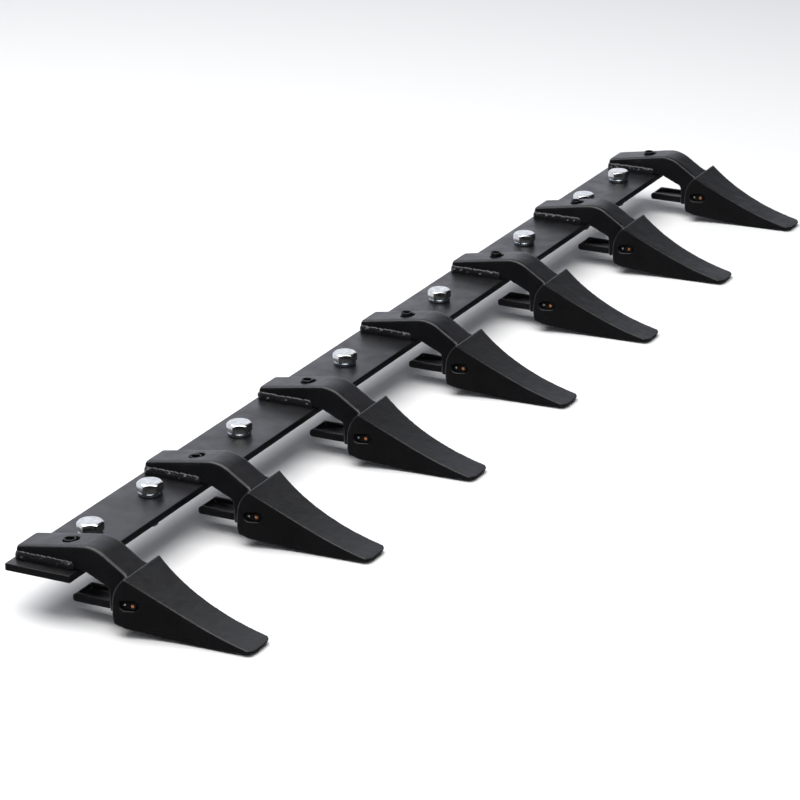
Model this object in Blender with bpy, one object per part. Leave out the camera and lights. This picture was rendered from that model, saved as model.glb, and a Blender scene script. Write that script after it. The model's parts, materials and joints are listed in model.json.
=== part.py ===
"""Bolt-on tooth bar for the cutting edge of a skid steer bucket.

A flat bar carries seven welded shanks. Each shank's strap sits on the bar, its leg reaches back under
the bucket's lip, and its nose holds a replaceable cast tooth with a flex pin. Eight bolts clamp the bar.

X runs along the bar, the teeth point to -Y and +Z is up. The origin is the centre of the bar's
underside, which rests on the bucket's lip. Sizes are in millimetres and become metres at the end.
"""
import math

import bmesh
import bpy
from mathutils import Matrix
from mathutils.geometry import interpolate_bezier

for old in list(bpy.data.objects):
    bpy.data.objects.remove(old)

MM = 0.001

# ---- driving dimensions, in millimetres ----
TOOTH_COUNT = 7
TOOTH_PITCH = 254.0        # 10 in between teeth
BAR_END = 35.5             # bar beyond the outer teeth's centre lines
BAR_WIDTH = 76.2           # 3 in flat bar
BAR_THICKNESS = 8.0
BAR_EDGE = 0.8             # chamfer along the bar's edges
BOLT_LAND = 20.0           # flat kept round a bolt, to each side
SHANK_LAND = 30.0          # flat kept round a shank, to each side

END_BOLT_OFFSET = 67.0     # bolts on each side of an outer gap, from the nearest tooth's centre line
BOLT_DIAMETER = 15.9       # 5/8 in
BOLT_LENGTH = 40.0
THREAD_PITCH = 2.309       # 11 threads to the inch
HEAD_FLATS = 25.2
HEAD_HEIGHT = 10.0
HEAD_CHAMFER = 1.6
HEAD_FACE = 0.97           # the head's flat top, as a share of its flats
THREAD_TIP = 1.5           # length of the taper at the bolt's tip
THREAD_TIP_DEPTH = 1.3
WASHER_DIAMETER = 26.4
WASHER_THICKNESS = 4.0
NUT_HEIGHT = 13.9
BAR_HOLE_CLEARANCE = 0.8   # on the radius
WASHER_CLEARANCE = 0.45
NUT_CLEARANCE = 0.3
SEAT_GAP = 0.3             # between faces that touch

STRAP_WIDTH = 40.0
STRAP_REAR_HEIGHT = 14.5   # above the bar's top
STRAP_FRONT_HEIGHT = 29.6  # where the strap's slope meets the neck's
STRAP_INSET = 4.0          # strap's rear end, in from the bar's rear edge
STRAP_CHAMFER_WIDTH = 5.0
STRAP_CHAMFER_DROP = 3.2
STRAP_REAR_EDGE = 1.5      # bevel at the top of the strap's rear end
HUMP_REACH = 17.8          # strap and neck slopes meet this far in front of the bar
HUMP_RADIUS = 39.0
NECK_START = 8.0           # neck's underside leaves the bar's top level here, in front of the bar
LIP_GAP = 19.5             # slot for the bucket's cutting edge, under the bar
THROAT_REACH = 36.0        # back of the slot, in front of the bar
THROAT_DROP = 3.5          # underside of the neck at the throat, below the bar's underside
THROAT_CORNER = 2.0        # slot's upper front corner is eased by this
LEG_REAR = -10.2           # leg's rear end, in front of the bar's front edge
LEG_WIDTH = 33.5
LEG_THICKNESS = 9.4
LEG_NOSE_RADIUS = 4.0
LEG_STEP = 0.2             # leg's underside, above the shank's
LEG_ROOT = 8.0             # leg runs this far into the shank
SHARP_EDGE = 0.01          # a corner left almost square
RECESS_DEPTH = 4.0
RECESS_RIM = 5.2
RECESS_FROM_THROAT = 3.0

LOCATING_HOLE_DIAMETER = 17.6
LOCATING_HOLE_BACK = 18.8  # hole's centre, behind the bar's front edge
LOCATING_PIN_DIAMETER = 13.2
LOCATING_PIN_BORE = 9.4
LOCATING_PIN_OFFSET = 1.6  # pin's centre, behind the strap hole's centre
LOCATING_PIN_CLEARANCE = 0.25
LOCATING_PIN_STICKS_OUT = [0.6, -1.0, 2.0, 3.6, 4.4, 2.6, 3.0]

WELD_LEG = 3.7             # along the bar
WELD_HEIGHT = 10.0
WELD_END = 4.0             # bead stops short of the bar's front edge
WELD_RIPPLE = 0.07         # every other ring is smaller by this share

TOOTH_REACH = 61.8         # top rear edge of the tooth, in front of the bar
TOOTH_LENGTH = 132.0       # from that edge to the tip's corners
TOOTH_REAR_TOP = 16.0      # heights from the bar's underside
TOOTH_TIP_TOP = -41.5
TOOTH_REAR_BOTTOM = -34.5
TOOTH_TIP_BOTTOM = -44.5
TOOTH_HOLLOW = 7.2         # top surface, below a straight line
TOOTH_BELLY = 7.2          # bottom surface, below a straight line
TOOTH_SKIRT = 13.0         # cheeks reach back past the top rear edge
SKIRT_OVERLAP = 4.0        # the shank starts to widen this far inside the cheeks
TOOTH_WIDTH = 71.0
TIP_WIDTH = 43.0
FLARE_POWER = 3.6          # how fast the width falls from the rear
TIP_ROUND = 3.4            # tip's arc, seen from above
TIP_NARROWING = 0.72       # how much of the tip's width its arc takes off
TIP_PINCH = 0.6            # tip is thinner by this at its very end, above and below
TOOTH_EDGE = 1.4
WALL_TOP = 7.0
WALL_BOTTOM = 6.0
WALL_SIDE = 9.0
POCKET_CLEARANCE = 1.0
POCKET_MOUTH = 12.0        # pocket's shape is carried on this far behind the cheeks
NOSE_LENGTH = 54.0         # inside the tooth, from its top rear edge
NOSE_CORNER = 3.0          # chamfer along the nose and the pocket
MOUTH_CORNER = 1.0         # the same where the pocket opens, so that the neck clears it

FLEX_PIN_REACH = 3.2       # pin's centre, in front of the tooth's top rear edge
FLEX_PIN_HEIGHT = -12.7
FLEX_PIN_LONG = 17.6
FLEX_PIN_SHORT = 8.6
FLEX_PIN_CLEARANCE = 0.7
FLEX_PIN_RECESS = 2.2

# ---- places worked out from them ----
FRONT = -BAR_WIDTH / 2
REAR = BAR_WIDTH / 2
TOP = BAR_THICKNESS
TOOTH_BACK = FRONT - TOOTH_REACH
BAR_LENGTH = (TOOTH_COUNT - 1) * TOOTH_PITCH + 2 * BAR_END
TOOTH_XS = [(k - (TOOTH_COUNT - 1) / 2) * TOOTH_PITCH for k in range(TOOTH_COUNT)]
BOLT_XS = sorted(
    [side * (TOOTH_XS[-1] - END_BOLT_OFFSET) for side in (-1, 1)]
    + [side * (TOOTH_XS[-2] + END_BOLT_OFFSET) for side in (-1, 1)]
    + [(a + b) / 2 for a, b in zip(TOOTH_XS[1:-2], TOOTH_XS[2:-1])])
LOCATING_Y = FRONT + LOCATING_HOLE_BACK


# ---- helpers ----
def collection(name):
    made = bpy.data.collections.new(name)
    bpy.context.scene.collection.children.link(made)
    return made


def material(name, colour, roughness, metallic):
    made = bpy.data.materials.new(name)
    made.use_nodes = True
    shader = made.node_tree.nodes["Principled BSDF"]
    shader.inputs["Base Color"].default_value = (*colour, 1.0)
    shader.inputs["Roughness"].default_value = roughness
    shader.inputs["Metallic"].default_value = metallic
    return made


def link(name, mesh, where):
    made = bpy.data.objects.new(name, mesh)
    where.objects.link(made)
    return made


def scratch(bm, name="solid"):
    """Turn a bmesh into an object in the cutters' collection."""
    bmesh.ops.recalc_face_normals(bm, faces=bm.faces)
    mesh = bpy.data.meshes.new(name)
    bm.to_mesh(mesh)
    bm.free()
    made = link(name, mesh, CUTTERS)
    made.hide_render = True
    made.display_type = "WIRE"
    return made


def loft(rings):
    """A closed solid through rings of matching points, capped at both ends."""
    bm = bmesh.new()
    loops = [[bm.verts.new(point) for point in ring] for ring in rings]
    for low, high in zip(loops, loops[1:]):
        for k in range(len(low)):
            n = (k + 1) % len(low)
            bm.faces.new((low[k], low[n], high[n], high[k]))
    bm.faces.new(reversed(loops[0]))
    bm.faces.new(loops[-1])
    return scratch(bm)


def side_prism(outline, half_width):
    """A flat outline of (y, z) points, given its thickness along X."""
    curve = bpy.data.curves.new("outline", "CURVE")
    curve.dimensions = "2D"
    curve.fill_mode = "BOTH"
    curve.extrude = half_width
    spline = curve.splines.new("POLY")
    spline.points.add(len(outline) - 1)
    for point, (y, z) in zip(spline.points, outline):
        point.co = (y, z, 0, 1)
    spline.use_cyclic_u = True
    drawn = link("outline", curve, CUTTERS)
    bpy.context.view_layer.update()
    mesh = bpy.data.meshes.new_from_object(drawn.evaluated_get(bpy.context.evaluated_depsgraph_get()))
    bpy.data.objects.remove(drawn)
    bm = bmesh.new()
    bm.from_mesh(mesh)
    bmesh.ops.remove_doubles(bm, verts=bm.verts, dist=0.0001)
    upright = Matrix(((0, 0, 1, 0), (1, 0, 0, 0), (0, 1, 0, 0), (0, 0, 0, 1)))
    bmesh.ops.transform(bm, verts=bm.verts, matrix=upright)
    return scratch(bm)


def cylinder(radius, low, high, x=0.0, y=0.0, sides=16, top_radius=None):
    bm = bmesh.new()
    place = Matrix.Translation((x, y, (low + high) / 2))
    bmesh.ops.create_cone(bm, cap_ends=True, segments=sides, radius1=radius, matrix=place,
                          radius2=radius if top_radius is None else top_radius, depth=high - low)
    return scratch(bm)


def box(low, high):
    bm = bmesh.new()
    size = [b - a for a, b in zip(low, high)]
    centre = [(a + b) / 2 for a, b in zip(low, high)]
    bmesh.ops.create_cube(bm, size=1.0, matrix=Matrix.Translation(centre) @ Matrix.Diagonal((*size, 1)))
    return scratch(bm)


def score(solid, direction, stations):
    """Cut edge loops across the solid at each station, so that the faces between them stand alone."""
    bm = bmesh.new()
    bm.from_mesh(solid.data)
    for station in stations:
        everything = bm.verts[:] + bm.edges[:] + bm.faces[:]
        point = [station * d for d in direction]
        bmesh.ops.bisect_plane(bm, geom=everything, plane_co=point, plane_no=direction)
    bm.to_mesh(solid.data)
    bm.free()


def combine(base, others, operation):
    """Join others to base, cut them from it, or keep what they share."""
    for other in others:
        modifier = base.modifiers.new("combine", "BOOLEAN")
        modifier.operation = operation
        modifier.solver = "EXACT"
        modifier.object = other
    bpy.context.view_layer.update()
    mesh = bpy.data.meshes.new_from_object(base.evaluated_get(bpy.context.evaluated_depsgraph_get()))
    for spent in [base, *others]:
        bpy.data.objects.remove(spent)
    return link("solid", mesh, CUTTERS)


def piece(name, solid, finish, centre=(0.0, 0.0, 0.0)):
    """Take a solid's mesh as one finished piece's, in metres, with its origin at centre."""
    mesh = solid.data
    mesh.name = name
    mesh.transform(Matrix.Scale(MM, 4) @ Matrix.Translation([-c for c in centre]))
    mesh.materials.clear()
    mesh.materials.append(finish)
    mesh.shade_smooth()
    mesh.set_sharp_from_angle(angle=math.radians(28))
    bpy.data.objects.remove(solid)
    return mesh


def place(name, mesh, x, y, z):
    made = link(name, mesh, PARTS)
    made.location = (x * MM, y * MM, z * MM)
    return made


def ring(y, low, high, half, top_width, top_drop, bottom):
    """A rectangle across X at one y, with its top and bottom corners cut."""
    return [(-half, y, low + bottom), (-half, y, high - top_drop), (-half + top_width, y, high),
            (half - top_width, y, high), (half, y, high - top_drop), (half, y, low + bottom),
            (half - bottom, y, low), (-half + bottom, y, low)]


def blend(a, b, share):
    return a + (b - a) * share


def hex_outline(flats):
    corner = flats / math.sqrt(3)
    return [(corner * math.cos(k * math.pi / 3), corner * math.sin(k * math.pi / 3)) for k in range(6)]


def stadium(y, z, length, height, steps=5):
    """Outline of a slot: two half circles joined by straight sides."""
    radius = height / 2
    ends = []
    for side in (1, -1):
        for k in range(steps + 1):
            angle = side * math.pi / 2 - k * math.pi / steps
            ends.append((y + side * (length / 2 - radius) + radius * math.cos(angle),
                         z + radius * math.sin(angle)))
    return ends


# ---- the tooth's outer surface, as functions of the distance ahead of its top rear edge ----
def tooth_top(ahead):
    u = ahead / TOOTH_LENGTH
    return blend(TOOTH_REAR_TOP, TOOTH_TIP_TOP, u) - 4 * TOOTH_HOLLOW * u * (1 - u)


def tooth_bottom(ahead):
    u = (ahead + TOOTH_SKIRT) / (TOOTH_LENGTH + TOOTH_SKIRT)
    return blend(TOOTH_REAR_BOTTOM, TOOTH_TIP_BOTTOM, u) - 4 * TOOTH_BELLY * u * (1 - u)


def tooth_half(ahead):
    u = min(max(ahead / TOOTH_LENGTH, 0.0), 1.0)
    return (TIP_WIDTH + (TOOTH_WIDTH - TIP_WIDTH) * (1 - u) ** FLARE_POWER) / 2


def tooth_ring(ahead, half=None, pinch=0.0):
    low, high = tooth_bottom(ahead) + pinch, tooth_top(ahead) - pinch
    return ring(TOOTH_BACK - ahead, low, high, half or tooth_half(ahead), TOOTH_EDGE, TOOTH_EDGE, TOOTH_EDGE)


def nose_ring(ahead, grow, half=None, corner=NOSE_CORNER):
    """Section of the nose, or of the tooth's pocket when grow is the clearance."""
    half = half or tooth_half(ahead) - WALL_SIDE - POCKET_CLEARANCE
    low, high = tooth_bottom(ahead) + WALL_BOTTOM - grow, tooth_top(ahead) - WALL_TOP + grow
    return ring(TOOTH_BACK - ahead, low, high, half + grow, corner, corner, corner)


# ---- parts ----
def make_bar():
    half = BAR_LENGTH / 2
    e = BAR_EDGE
    outline = [(REAR, e), (REAR, TOP - e), (REAR - e, TOP), (FRONT + e, TOP),
               (FRONT, TOP - e), (FRONT, e), (FRONT + e, 0), (REAR - e, 0)]
    bar = side_prism(outline, half)
    lands = [x + side * BOLT_LAND for x in BOLT_XS for side in (-1, 1)]
    lands += [x + side * SHANK_LAND for x in TOOTH_XS for side in (-1, 1)]
    score(bar, (1, 0, 0), lands)
    score(bar, (0, 1, 0), [LOCATING_Y + LOCATING_HOLE_DIAMETER / 2])
    hole = BOLT_DIAMETER / 2 + BAR_HOLE_CLEARANCE
    pin = LOCATING_PIN_DIAMETER / 2 + LOCATING_PIN_CLEARANCE
    cuts = [cylinder(hole, -5, TOP + 5, x=x) for x in BOLT_XS]
    cuts += [cylinder(pin, -5, TOP + 5, x=x, y=LOCATING_Y + LOCATING_PIN_OFFSET, sides=12) for x in TOOTH_XS]
    return combine(bar, cuts, "DIFFERENCE")


def strap_top(ahead):
    """Height of the strap's and neck's crown; ahead is measured from the bar's front edge."""
    corner = TOP + STRAP_FRONT_HEIGHT
    rise = (STRAP_FRONT_HEIGHT - STRAP_REAR_HEIGHT) / (HUMP_REACH + BAR_WIDTH - STRAP_INSET)
    meets = tooth_top(0) - WALL_TOP
    fall = (corner - meets) / (TOOTH_REACH - HUMP_REACH)
    turn = math.atan(rise) + math.atan(fall)
    tangent = HUMP_RADIUS * math.tan(turn / 2)
    start = HUMP_REACH - tangent * math.cos(math.atan(rise))
    end = HUMP_REACH + tangent * math.cos(math.atan(fall))
    if ahead <= start:
        return corner - rise * (HUMP_REACH - ahead)
    if ahead >= end:
        return corner - fall * (ahead - HUMP_REACH)
    middle = start + HUMP_RADIUS * math.sin(math.atan(rise))
    crown = corner - rise * (HUMP_REACH - start) - HUMP_RADIUS * math.cos(math.atan(rise))
    return crown + math.sqrt(HUMP_RADIUS ** 2 - (ahead - middle) ** 2)


def shank_bottom(ahead):
    base = TOP + SEAT_GAP
    if ahead <= NECK_START:
        return base
    return blend(base, -THROAT_DROP, (ahead - NECK_START) / (THROAT_REACH - THROAT_CORNER - NECK_START))


def make_shank():
    half = STRAP_WIDTH / 2
    leg_low = -LIP_GAP - LEG_THICKNESS
    chamfer = (STRAP_CHAMFER_WIDTH, STRAP_CHAMFER_DROP)
    rear = -(BAR_WIDTH - STRAP_INSET)
    throat = THROAT_REACH
    last = throat - THROAT_CORNER
    steps = [rear, rear + STRAP_REAR_EDGE, -2.0] + [blend(NECK_START, last, k / 8) for k in range(9)]
    rings = []
    for ahead in steps:
        drop = STRAP_REAR_EDGE if ahead == rear else 0.0
        top = strap_top(ahead) - drop
        rings.append(ring(FRONT - ahead, shank_bottom(ahead), top, half, *chamfer, SHARP_EDGE))
    middle = -THROAT_DROP - 3 * THROAT_CORNER
    near = throat - 0.3 * THROAT_CORNER
    rings.append(ring(FRONT - near, middle, strap_top(near), half, *chamfer, SHARP_EDGE))
    rings.append(ring(FRONT - throat, leg_low, strap_top(throat), half, *chamfer, SHARP_EDGE))
    mouth = TOOTH_REACH - TOOTH_SKIRT + SKIRT_OVERLAP
    rings.append(ring(FRONT - mouth, leg_low, strap_top(mouth), half, *chamfer, NOSE_CORNER))
    rings += [nose_ring(NOSE_LENGTH * k / 5, 0.0) for k in range(6)]
    body = loft(rings)

    r = LEG_NOSE_RADIUS
    leg_bottom = leg_low + LEG_STEP
    leg_rear, leg_front = FRONT - LEG_REAR, FRONT - THROAT_REACH - LEG_ROOT
    outline = [(leg_front, leg_bottom), (leg_front, -LIP_GAP)]
    for corner_z, first in ((-LIP_GAP - r, 90), (leg_bottom + r, 0)):
        for k in range(4):
            angle = math.radians(first - 30 * k)
            outline.append((leg_rear - r + r * math.cos(angle), corner_z + r * math.sin(angle)))
    leg = side_prism(outline, LEG_WIDTH / 2)
    shank = combine(body, [leg], "UNION")

    inner = LEG_WIDTH / 2 - RECESS_RIM
    recess = box((-inner, FRONT - THROAT_REACH + RECESS_FROM_THROAT, -LIP_GAP - RECESS_DEPTH),
                 (inner, leg_rear - RECESS_RIM, -LIP_GAP + 1.0))
    hole = cylinder(LOCATING_HOLE_DIAMETER / 2, TOP - 5, TOP + 60, y=LOCATING_Y)
    pin_hole = side_prism(pin_outline(FLEX_PIN_CLEARANCE), TOOTH_WIDTH)
    return combine(shank, [recess, hole, pin_hole], "DIFFERENCE")


def pin_outline(grow):
    return stadium(TOOTH_BACK - FLEX_PIN_REACH, FLEX_PIN_HEIGHT,
                   FLEX_PIN_LONG + 2 * grow, FLEX_PIN_SHORT + 2 * grow)


def make_tooth():
    rings = [tooth_ring(a) for a in (-TOOTH_SKIRT - 8, 0.0, 8.0, 17.0, 28.0, 42.0, 58.0, 76.0, 96.0, 116.0)]
    for share in (0.0, 0.45, 0.8, 1.0):
        turn = share * math.pi / 2
        half = TIP_WIDTH / 2 * (1 - TIP_NARROWING * (1 - math.cos(turn)))
        ahead = TOOTH_LENGTH + TIP_ROUND * (2 * math.sin(turn) - 1)
        rings.append(tooth_ring(ahead, half, TIP_PINCH * share))
    outer = loft(rings)

    pocket = [nose_ring(NOSE_LENGTH * k / 5, POCKET_CLEARANCE) for k in range(5)]
    end = nose_ring(NOSE_LENGTH, POCKET_CLEARANCE)
    pocket.append([(x, y - 2 * POCKET_CLEARANCE, z) for x, y, z in end])
    mouth_half = tooth_half(0) - WALL_SIDE - POCKET_CLEARANCE
    mouth = nose_ring(-TOOTH_SKIRT - POCKET_MOUTH, POCKET_CLEARANCE, mouth_half, MOUTH_CORNER)
    hollow = loft([mouth] + pocket)

    # the rear edge sweeps back from the top corner, round the cheek and in again at the bottom
    t, s = TOOTH_BACK, TOOTH_SKIRT
    edge = interpolate_bezier((t, TOOTH_REAR_TOP), (t + s + 1.0, -2 + TOOTH_REAR_TOP / 2),
                              (t + s + 4.5, -14.0), (t + s, TOOTH_REAR_BOTTOM), 8)
    outline = [(t - 15, TOOTH_REAR_TOP + 18)] + [(p[0], p[1]) for p in edge]
    outline += [(t + s - 2, TOOTH_REAR_BOTTOM - 12), (t + s + 40, TOOTH_REAR_BOTTOM - 12),
                (t + s + 40, TOOTH_REAR_TOP + 18)]
    behind = side_prism(outline, TOOTH_WIDTH)
    pin_hole = side_prism(pin_outline(FLEX_PIN_CLEARANCE), TOOTH_WIDTH)
    return combine(outer, [hollow, behind, pin_hole], "DIFFERENCE")


def make_flex_pin():
    half = tooth_half(FLEX_PIN_REACH) - FLEX_PIN_RECESS
    return side_prism(pin_outline(0.0), half)


def make_weld():
    """One fillet bead along the strap's two sides and round its rear end."""
    half = STRAP_WIDTH / 2 + SEAT_GAP
    rear = REAR - STRAP_INSET + SEAT_GAP
    front = FRONT + WELD_END
    section = [(0.0, SEAT_GAP), (0.92 * WELD_LEG, SEAT_GAP), (0.95 * WELD_LEG, 0.2 * WELD_HEIGHT),
               (0.7 * WELD_LEG, 0.6 * WELD_HEIGHT), (0.4 * WELD_LEG, 0.88 * WELD_HEIGHT), (0.0, WELD_HEIGHT)]
    stations = [(half, blend(front, rear, k / 5), 1.0, 0.0) for k in range(5)]
    stations.append((half, rear, 1.0, 0.8))
    rest = [(-x, y, -dx, dy) for x, y, dx, dy in reversed(stations)]
    stations = stations + [(half * 0.3, rear, 0.0, 1.0), (-half * 0.3, rear, 0.0, 1.0)] + rest
    rings = []
    for n, (x, y, dx, dy) in enumerate(stations):
        swell = 1.0 if n % 2 else 1.0 - WELD_RIPPLE
        rings.append([(x + dx * out * swell, y + dy * out * swell, TOP + up) for out, up in section])
    return loft(rings)


def make_locating_pin(sticks_out):
    top = strap_top(-LOCATING_HOLE_BACK) + sticks_out
    tube = cylinder(LOCATING_PIN_DIAMETER / 2, 0.0, top, sides=12)
    bore = cylinder(LOCATING_PIN_BORE / 2, -5.0, top + 5.0, sides=12)
    return combine(tube, [bore], "DIFFERENCE")


def hexagon(flats, low, high, chamfer_top, chamfer_bottom):
    """A hexagon whose corners are turned off by a cone at one or both ends."""
    bm = bmesh.new()
    base = bm.faces.new([bm.verts.new((x, y, low)) for x, y in hex_outline(flats)])
    top = bmesh.ops.extrude_face_region(bm, geom=[base])["geom"]
    moved = [v for v in top if isinstance(v, bmesh.types.BMVert)]
    bmesh.ops.translate(bm, verts=moved, vec=(0, 0, high - low))
    solid = scratch(bm)
    corner = flats / math.sqrt(3)
    reach = 2 * (high - low)
    narrow = flats / 2 * HEAD_FACE
    wide = narrow + (corner - narrow) / HEAD_CHAMFER * reach
    cones = []
    if chamfer_top:
        cones.append(cylinder(wide, high - reach, high, sides=24, top_radius=narrow))
    if chamfer_bottom:
        cones.append(cylinder(narrow, low, low + reach, sides=24, top_radius=wide))
    return combine(solid, cones, "INTERSECT")


def make_bolt():
    under_head = TOP + WASHER_THICKNESS + 2 * SEAT_GAP
    head = hexagon(HEAD_FLATS, under_head, under_head + HEAD_HEIGHT, True, False)
    radius = BOLT_DIAMETER / 2
    end = under_head - BOLT_LENGTH
    shank = cylinder(radius, end + THREAD_TIP, under_head + 2)
    tip = cylinder(radius - THREAD_TIP_DEPTH, end, end + THREAD_TIP, top_radius=radius)
    threaded = combine(shank, [tip], "UNION")
    return combine(head, [threaded], "UNION")


def make_washer():
    low = TOP + SEAT_GAP
    disc = cylinder(WASHER_DIAMETER / 2, low, low + WASHER_THICKNESS)
    bore = cylinder(BOLT_DIAMETER / 2 + WASHER_CLEARANCE, low - 2, low + WASHER_THICKNESS + 2)
    return combine(disc, [bore], "DIFFERENCE")


def make_nut():
    high = -SEAT_GAP
    nut = hexagon(HEAD_FLATS, high - NUT_HEIGHT, high, False, True)
    bore = cylinder(BOLT_DIAMETER / 2 + NUT_CLEARANCE, high - NUT_HEIGHT - 2, high + 2)
    return combine(nut, [bore], "DIFFERENCE")


# ---- build ----
PARTS = collection("tooth_bar")
CUTTERS = collection("cutters")

BLACK_PAINT = material("black_powder_coat", (0.022, 0.022, 0.024), 0.55, 0.0)
CAST_BLACK = material("painted_casting", (0.028, 0.028, 0.030), 0.62, 0.0)
WELD_BLACK = material("painted_weld", (0.030, 0.030, 0.033), 0.5, 0.0)
ZINC = material("zinc_plate", (0.78, 0.80, 0.82), 0.28, 1.0)
SPRING_STEEL = material("blackened_steel", (0.05, 0.05, 0.055), 0.4, 0.6)
PIN_STEEL = material("flex_pin_steel", (0.35, 0.30, 0.27), 0.45, 0.8)

place("bar", piece("bar", make_bar(), BLACK_PAINT), 0, 0, 0)

pin_centre = (0.0, TOOTH_BACK - FLEX_PIN_REACH, FLEX_PIN_HEIGHT)
shank_mesh = piece("shank", make_shank(), CAST_BLACK)
tooth_mesh = piece("tooth", make_tooth(), CAST_BLACK)
weld_mesh = piece("weld", make_weld(), WELD_BLACK)
flex_mesh = piece("flex_pin", make_flex_pin(), PIN_STEEL, pin_centre)
for k, x in enumerate(TOOTH_XS):
    number = k + 1
    place(f"shank_{number}", shank_mesh, x, 0, 0)
    place(f"tooth_{number}", tooth_mesh, x, 0, 0)
    place(f"weld_{number}", weld_mesh, x, 0, 0)
    place(f"flex_pin_{number}", flex_mesh, x, pin_centre[1], pin_centre[2])
    locating = piece("locating_pin", make_locating_pin(LOCATING_PIN_STICKS_OUT[k]), SPRING_STEEL)
    place(f"locating_pin_{number}", locating, x, LOCATING_Y + LOCATING_PIN_OFFSET, 0)

bolt_mesh = piece("bolt", make_bolt(), ZINC)
washer_mesh = piece("lock_washer", make_washer(), ZINC)
nut_mesh = piece("nut", make_nut(), ZINC)
for k, x in enumerate(BOLT_XS):
    place(f"bolt_{k + 1}", bolt_mesh, x, 0, 0)
    place(f"lock_washer_{k + 1}", washer_mesh, x, 0, 0)
    place(f"nut_{k + 1}", nut_mesh, x, 0, 0)
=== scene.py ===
"""The looks of a bolt-on tooth bar: castings, weld beads, bolts, pins, paint and studio light.

X runs along the bar, the teeth point to -Y and +Z is up. Shapes are drawn in millimetres round the
middle of their own tooth or bolt, and become metres when they are placed.
"""
import json
import math

import bmesh
import bpy
import numpy as np
from mathutils import Matrix, Vector, noise
from mathutils.geometry import interpolate_bezier

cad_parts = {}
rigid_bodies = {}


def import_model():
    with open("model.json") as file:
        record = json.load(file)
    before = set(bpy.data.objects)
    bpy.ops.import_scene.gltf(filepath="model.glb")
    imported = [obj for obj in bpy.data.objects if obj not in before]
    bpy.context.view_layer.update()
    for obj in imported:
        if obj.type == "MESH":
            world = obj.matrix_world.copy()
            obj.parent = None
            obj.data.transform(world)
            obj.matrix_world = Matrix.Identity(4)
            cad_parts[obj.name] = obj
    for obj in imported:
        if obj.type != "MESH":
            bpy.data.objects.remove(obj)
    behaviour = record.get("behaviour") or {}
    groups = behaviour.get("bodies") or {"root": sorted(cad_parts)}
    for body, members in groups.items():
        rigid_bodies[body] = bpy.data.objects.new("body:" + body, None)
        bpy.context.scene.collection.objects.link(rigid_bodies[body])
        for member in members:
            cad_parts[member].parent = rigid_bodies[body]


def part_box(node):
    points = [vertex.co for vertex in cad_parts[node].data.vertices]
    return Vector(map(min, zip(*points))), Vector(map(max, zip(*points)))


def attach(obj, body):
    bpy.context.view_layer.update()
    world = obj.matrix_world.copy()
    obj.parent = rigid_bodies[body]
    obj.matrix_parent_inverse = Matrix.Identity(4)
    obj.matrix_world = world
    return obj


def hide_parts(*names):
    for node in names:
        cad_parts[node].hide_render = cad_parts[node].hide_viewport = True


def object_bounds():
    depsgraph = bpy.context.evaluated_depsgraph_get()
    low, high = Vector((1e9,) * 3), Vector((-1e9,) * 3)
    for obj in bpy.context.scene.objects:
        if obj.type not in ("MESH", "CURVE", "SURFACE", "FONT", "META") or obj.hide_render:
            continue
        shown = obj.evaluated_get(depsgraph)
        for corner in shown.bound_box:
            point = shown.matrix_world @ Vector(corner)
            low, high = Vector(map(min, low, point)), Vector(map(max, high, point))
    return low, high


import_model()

CAD_LOW, CAD_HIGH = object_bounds()
MM = 0.001
FULL_TURN = 2 * math.pi

# ---- sizes read from the frame, in millimetres ----
TEETH = [f"tooth_{k}" for k in range(1, 8)]
BOLTS = [f"bolt_{k}" for k in range(1, 9)]


def node_box(node):
    low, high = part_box(node)
    return low / MM, high / MM


def node_middle(node):
    low, high = node_box(node)
    return (low + high) / 2


TOOTH_XS = [node_middle(node).x for node in TEETH]
BOLT_XS = [node_middle(node).x for node in BOLTS]
BAR_LOW, BAR_HIGH = node_box("bar")
FRONT, REAR, TOP = BAR_LOW.y, BAR_HIGH.y, BAR_HIGH.z

# ---- sizes of the parts' own shapes, in millimetres ----
# the flat bar and its holes
BAR_EDGE = 0.9
BAR_END = 0.5              # how far the bar's ends are dressed back
BAR_END_LOSS = 0.3         # how much sharper its corners are there
HOLE_EASE = 1.0
HOLE_EASE_DEPTH = 0.5
CUT_PAST = 5.0             # how far a cutter runs past the metal

# shanks: the strap on the bar, the hump and neck before it, the leg below and the nose
STRAP_HALF = 20.0
STRAP_REAR_HEIGHT = 14.5
STRAP_FRONT_HEIGHT = 29.6
STRAP_REAR = REAR - 4.0
STRAP_REAR_EDGE = 1.5
STRAP_STATIONS = (-40.0, -2.0)
STRAP_CUT_HEIGHT = 60.0
STRAP_ROUND = (5.0, 3.2)   # how far its top corners are rounded, across and down
HUMP_REACH = 17.8
HUMP_RADIUS = 39.0
NECK_START = 8.0
NECK_STEPS = 13
THROAT_REACH = 36.0
THROAT_DROP = 3.5
THROAT_CORNER = 2.0
THROAT_STEP, THROAT_FALL = 0.6, 6.0
LIP_GAP = 19.5
LEG_REAR = FRONT + 10.2
LEG_HALF = 16.75
LEG_LOW = -28.9
LEG_ROUND = 4.0
LEG_STEP = 0.2
LEG_ROOT = 8.0
RECESS_RIM = 5.2
RECESS_DEPTH = 4.0
RECESS_CORNER = 1.5
RECESS_FROM_THROAT = 3.0
RECESS_PAST = 1.0          # how far its cutter rises above the leg
SEAT_GAP = 0.3
SHARP = 0.01               # the size of a corner that isn't cut, as every section has the same points
NOSE_ROUND = 3.0
NOSE_STEPS = 9
ROUND_STEPS = 6            # facets in a quarter circle of the leg
SKIRT_OVERLAP = 4.0

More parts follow.
